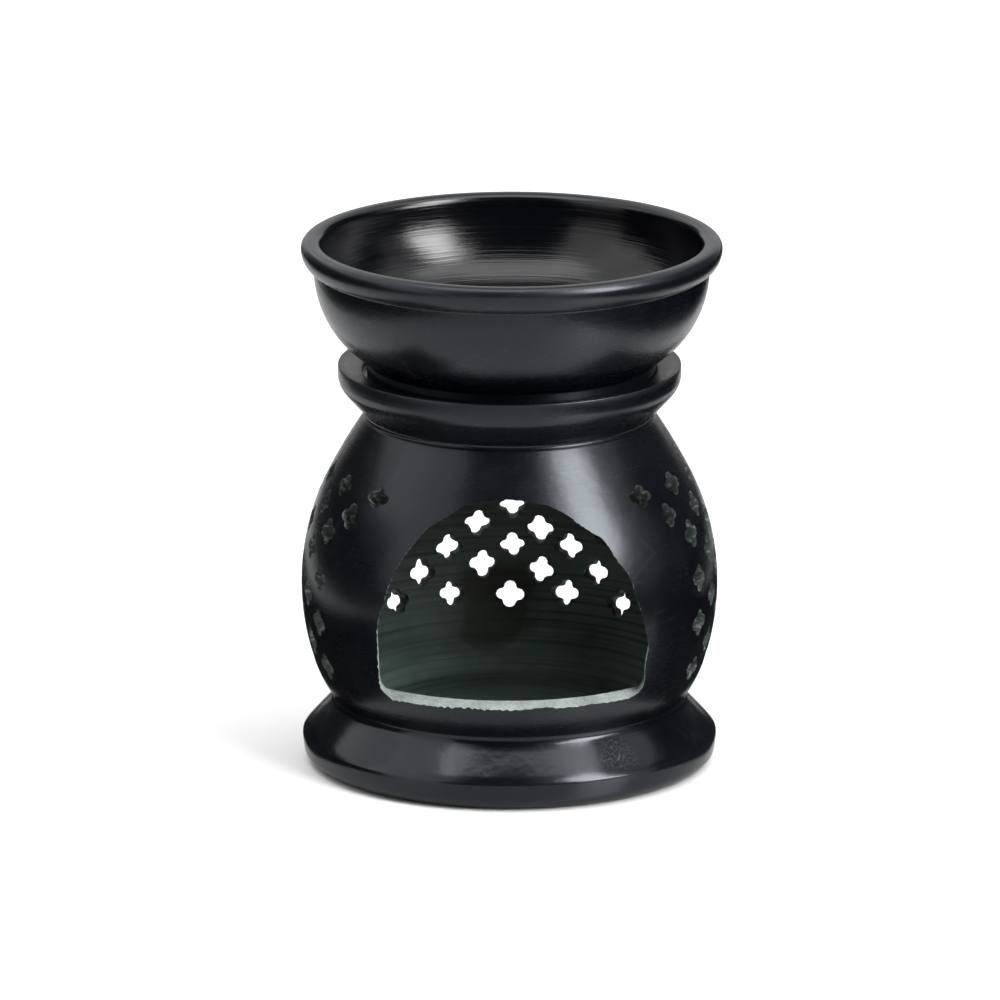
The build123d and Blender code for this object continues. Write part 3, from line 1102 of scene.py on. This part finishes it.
class BURNER_OT_stage(bpy.types.Operator):
    """Set up the floor, the soft lights and the camera"""

    bl_idname = "burner.stage"
    bl_label = "Set stage"

    def execute(self, context):
        scene = context.scene
        stage = scene.burner_stage
        floor = [(-4, -4, 0), (4, -4, 0), (4, 5, 0), (-4, 5, 0)]
        card("floor", floor, stage.floor_shade, 1, 0).visible_glossy = False
        # Cards seen only in the stone's gloss: painted reflections in place of the floor, a dimmer floor
        # and dark patches and walls beside the burner. Columns: name, x, y and z ranges, shade and gloss
        lie = 0.5 * MM
        mirrored = (
            ("floor_in_gloss", (-4, 4), (-4, 5), (0.0003, 0.0003), 0.62, 0.6),
            ("flag_left", (-0.20, -2.4), (-0.5, 1.2), (lie, lie), 0.0, 0),
            ("flag_right", (0.14, 1.7), (-0.5, 1.2), (lie, lie), 0.0, 0),
            ("flag_near_left", (-0.042, -0.075), (-0.045, 0.14), (lie, lie), 0.02, 0),
            ("flag_near_right", (0.042, 0.075), (-0.03, 0.14), (lie, lie), 0.02, 0),
            ("fence_left", (-0.075, -0.075), (-0.045, 0.14), (lie, 22 * MM), 0.02, 0),
            ("fence_right", (0.075, 0.075), (-0.03, 0.14), (lie, 22 * MM), 0.02, 0),
        )
        # Painted reflections: each card shows only in the stone's gloss, never to the camera, the matt
        # light or the shadows
        for name, (near, far), (front, back), (low, high), shade, gloss in mirrored:
            corners = [(near, front, low), (far, front, high), (far, back, high), (near, back, low)]
            reflection_card = card(name, corners, shade, 0.32, gloss)
            reflection_card.visible_camera = False
            reflection_card.visible_diffuse = False
            reflection_card.visible_shadow = False
        side = stage.side_radiance
        upright_light("key", 54, 1.1, 26, (0.24, 1.6), stage.key_radiance, lit=False)
        upright_light("key_wash", 46, 1.1, 31, (0.24, 1.55), stage.wash_radiance, mirrored=False)
        upright_light("left_front", -55, 1.15, 34, (0, 2.2), 0.85 * side)
        upright_light("left", -82, 1.15, 22, (0.47, 2.3), 1.05 * side)
        upright_light("left_rear", -126, 1.3, 68, (0.65, 2.6), 0.8 * side)
        upright_light("right", 77, 1.2, 30, (0, 1.6), 0.28 * side)
        upright_light("right_rear", 121, 1.2, 58, (0.95, 2.4), 0.65 * side)
        upright_light("rear", 180, 1.7, 54, (0, 2.4), 0.5 * side)
        soft_light("top", (0.13, -0.10, 1.6), (0, 0, -1), (1.9, 1.02), stage.top_radiance)
        soft_light("back_wash", (0, 1.1, 1.5), (0, 0, -1), (2.6, 1.4), stage.back_radiance, mirrored=False)
        world = bpy.data.worlds.new("studio")
        world.use_nodes = True
        tree = world.node_tree
        sky = {"Color": (0.95, 0.98, 1.0, 1), "Strength": stage.world_strength}
        feed(tree, tree.nodes["Background"], sky)
        scene.world = world
        scene.view_settings.view_transform = "Standard"
        rise = stage.camera_elevation
        lens = bpy.data.cameras.new("camera")
        lens.lens = stage.focal_length
        lens.sensor_width = 36
        lens.clip_end = 20
        camera = bpy.data.objects.new("camera", lens)
        aim = Vector((-1.78 * MM, 0, 49.7 * MM))
        camera.location = aim + stage.camera_distance * Vector((0, -cos(rise), sin(rise)))
        camera.rotation_euler = (pi / 2 - rise, 0, 0)
        scene.collection.objects.link(camera)
        scene.camera = camera
        return {"FINISHED"}


class BURNER_PT_panel(bpy.types.Panel):
    """Steps that make the burner, in order"""

    bl_label = "Oil Burner"
    bl_idname = "BURNER_PT_panel"
    bl_space_type = "VIEW_3D"
    bl_region_type = "UI"
    bl_category = "Oil Burner"

    def draw(self, context):
        for step in OPERATORS:
            self.layout.operator(step.bl_idname)


SETTINGS = {
    "burner_body": BurnerBodySizes,
    "burner_door": BurnerDoorSizes,
    "burner_lattice": BurnerLatticeSizes,
    "burner_bowl": BurnerBowlSizes,
    "burner_finishes": BurnerFinishes,
    "burner_stage": BurnerStage,
}
OPERATORS = (BURNER_OT_finishes, BURNER_OT_body, BURNER_OT_bowl, BURNER_OT_stage)


def register():
    for name, kind in SETTINGS.items():
        bpy.utils.register_class(kind)
        setattr(bpy.types.Scene, name, bpy.props.PointerProperty(type=kind))
    for kind in OPERATORS + (BURNER_PT_panel,):
        bpy.utils.register_class(kind)


def unregister():
    for kind in OPERATORS + (BURNER_PT_panel,):
        bpy.utils.unregister_class(kind)
    for name, kind in SETTINGS.items():
        delattr(bpy.types.Scene, name)
        bpy.utils.unregister_class(kind)


def main():
    """Makes the burner and its stage."""
    register()
    bpy.ops.burner.finishes()
    bpy.ops.burner.body()
    bpy.ops.burner.bowl()
    bpy.ops.burner.stage()


if __name__ == "__main__":
    main()
